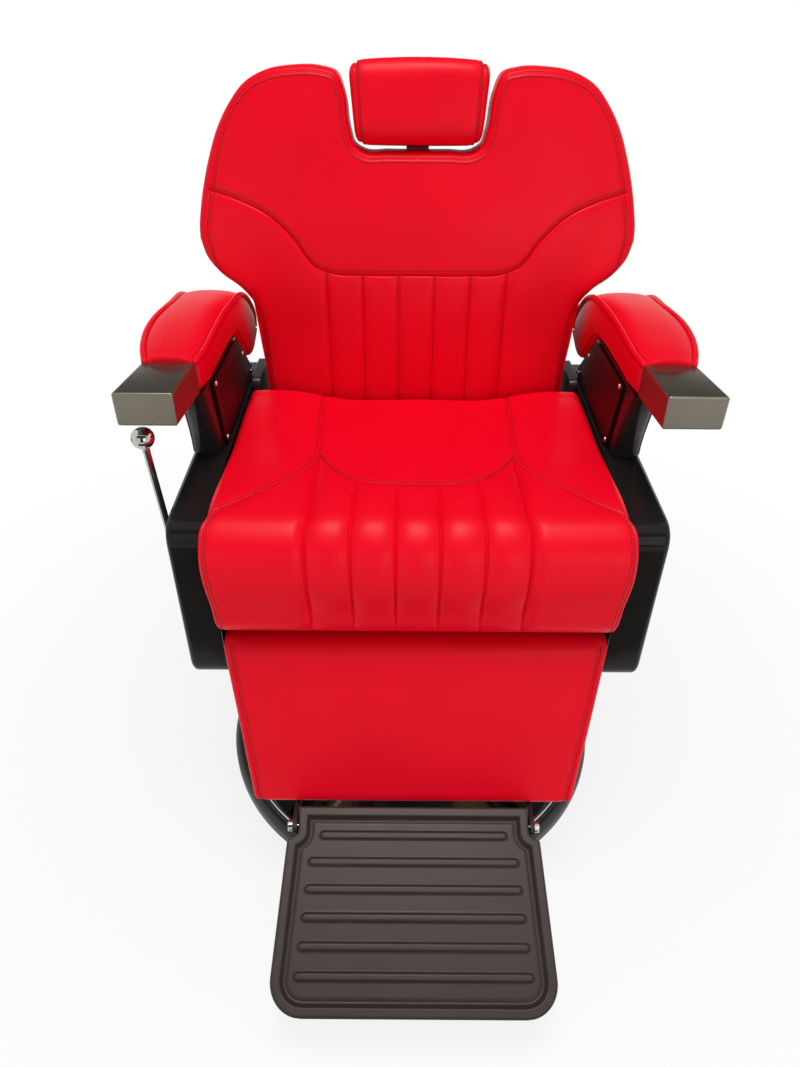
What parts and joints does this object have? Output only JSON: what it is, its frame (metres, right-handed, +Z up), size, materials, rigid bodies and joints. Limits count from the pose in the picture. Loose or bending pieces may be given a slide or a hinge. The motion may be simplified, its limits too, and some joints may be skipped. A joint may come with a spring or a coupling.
{
  "type": "barber chair",
  "caption": "Hydraulic barber chair: round base, channelled padded seat and back, sliding headrest, capped padded arms, leg rest tied to the reclining back, hinged ribbed footplate.",
  "frame": {"origin": "on the floor under the middle of the round base, on the lift and swivel axis", "axes": "+Z up, the sitter faces -Y, +X is the sitter's left"},
  "size_m": [0.7746, 1.0341, 1.1542],
  "materials": {
    "red_leather": "bright red leatherette, fine grain, soft gloss, self-coloured seams and piping",
    "gloss_black": "black gloss moulding",
    "dark_panel": "black gloss ribbed panel that mirrors the red seat",
    "brushed_nickel": "brushed metal",
    "chrome": "polished chrome",
    "satin_black": "satin black",
    "black_steel": "black painted steel",
    "steel": "plain steel",
    "plywood": "plain plywood",
    "rubber": "matt rubber",
    "cast_footplate": "dark bronze coated casting"
  },
  "bodies": {
    "base": {"floor_plate": "black_steel", "base_ring": "satin_black", "base_dish": "chrome", "pump_cylinder": "chrome", "pump_gland": "satin_black", "pedal_bracket": "black_steel"},
    "ram": {"pump_ram": "chrome"},
    "chair": {"seat_cushion": "red_leather", "arm_pad_left": "red_leather", "arm_pad_right": "red_leather", "side_cover_left": "gloss_black", "side_cover_right": "gloss_black", "arm_support_left": "gloss_black", "arm_support_right": "gloss_black", "arm_panel_left": "dark_panel", "arm_panel_right": "dark_panel", "arm_cap_left": "brushed_nickel", "arm_cap_right": "brushed_nickel", "panel_screw_left_1": "chrome", "panel_screw_left_2": "chrome", "panel_screw_left_3": "chrome", "panel_screw_left_4": "chrome", "panel_screw_right_1": "chrome", "panel_screw_right_2": "chrome", "panel_screw_right_3": "chrome", "panel_screw_right_4": "chrome", "swivel_hub": "black_steel", "mount_frame": "black_steel", "rail_left": "black_steel", "rail_right": "black_steel", "arm_bracket_left": "black_steel", "arm_bracket_right": "black_steel", "recline_lock": "black_steel", "leg_rest_shaft": "steel", "recline_shaft": "steel", "seat_board": "plywood"},
    "pedal": {"pedal_arm": "chrome", "pedal_pad": "rubber"},
    "back": {"back_bracket_left": "black_steel", "back_bracket_right": "black_steel", "back_board": "satin_black", "back_cushion": "red_leather", "headrest_sleeve": "black_steel"},
    "headrest": {"headrest_post": "chrome", "headrest_board": "satin_black", "headrest_pad": "red_leather"},
    "leg_rest": {"leg_bracket_left": "black_steel", "leg_bracket_right": "black_steel", "leg_rest_board": "satin_black", "leg_rest_pad": "red_leather", "footplate_arm_left": "black_steel", "footplate_arm_right": "black_steel", "footplate_bolt_left": "chrome", "footplate_bolt_right": "chrome"},
    "footplate": {"footplate": "cast_footplate"},
    "lever": {"lever_hub": "chrome", "lever_rod": "chrome", "lever_ball": "chrome"},
    "tie": {"tie_rod": "steel"},
    "lock_rod": {"recline_lock_rod": "chrome"}
  },
  "joints": [
    {"name": "lift", "type": "slide", "parent": "base", "child": "ram", "axis": [0, 0, 1], "range_m": [0, 0.16]},
    {"name": "swivel", "type": "hinge", "parent": "ram", "child": "chair", "pos_m": [0, 0, 0.3879], "axis": [0, 0, 1], "continuous": true},
    {"name": "recline", "type": "hinge", "parent": "chair", "child": "back", "pos_m": [0, 0.225, 0.479], "axis": [-1, 0, 0], "range_deg": [0, 45]},
    {"name": "leg_rest", "type": "hinge", "parent": "chair", "child": "leg_rest", "pos_m": [0, -0.2, 0.479], "axis": [-1, 0, 0], "range_deg": [0, 45]},
    {"name": "tie_pivot", "type": "hinge", "parent": "back", "child": "tie", "pos_m": [0, 0.24796, 0.42357], "axis": [-1, 0, 0], "range_deg": [-45, 0]},
    {"name": "lock_slide", "type": "slide", "parent": "chair", "child": "lock_rod", "axis": [0, -1, 0], "range_m": [0, 0.046]},
    {"name": "footplate_fold", "type": "hinge", "parent": "leg_rest", "child": "footplate", "pos_m": [0, -0.36698, 0.19949], "axis": [-1, 0, 0], "range_deg": [0, 75]},
    {"name": "headrest_slide", "type": "slide", "parent": "back", "child": "headrest", "axis": [0, 0.2079, 0.9781], "range_m": [0, 0.11]},
    {"name": "release_lever", "type": "hinge", "parent": "chair", "child": "lever", "pos_m": [0, -0.165, 0.479], "axis": [-1, 0, 0], "range_deg": [0, 16], "stiffness_Nm_per_rad": 3, "springref_deg": -20.05},
    {"name": "pump_pedal", "type": "hinge", "parent": "base", "child": "pedal", "pos_m": [0, 0.095, 0.12], "axis": [-1, 0, 0], "range_deg": [0, 7], "stiffness_Nm_per_rad": 12, "springref_deg": -20.05}
  ],
  "couplings": [
    {"joint": "leg_rest", "follows": "recline", "ratio": 1},
    {"joint": "tie_pivot", "follows": "recline", "ratio": -1},
    {"joint": "lock_slide", "follows": "recline", "m_per_rad": 0.05847}
  ]
}
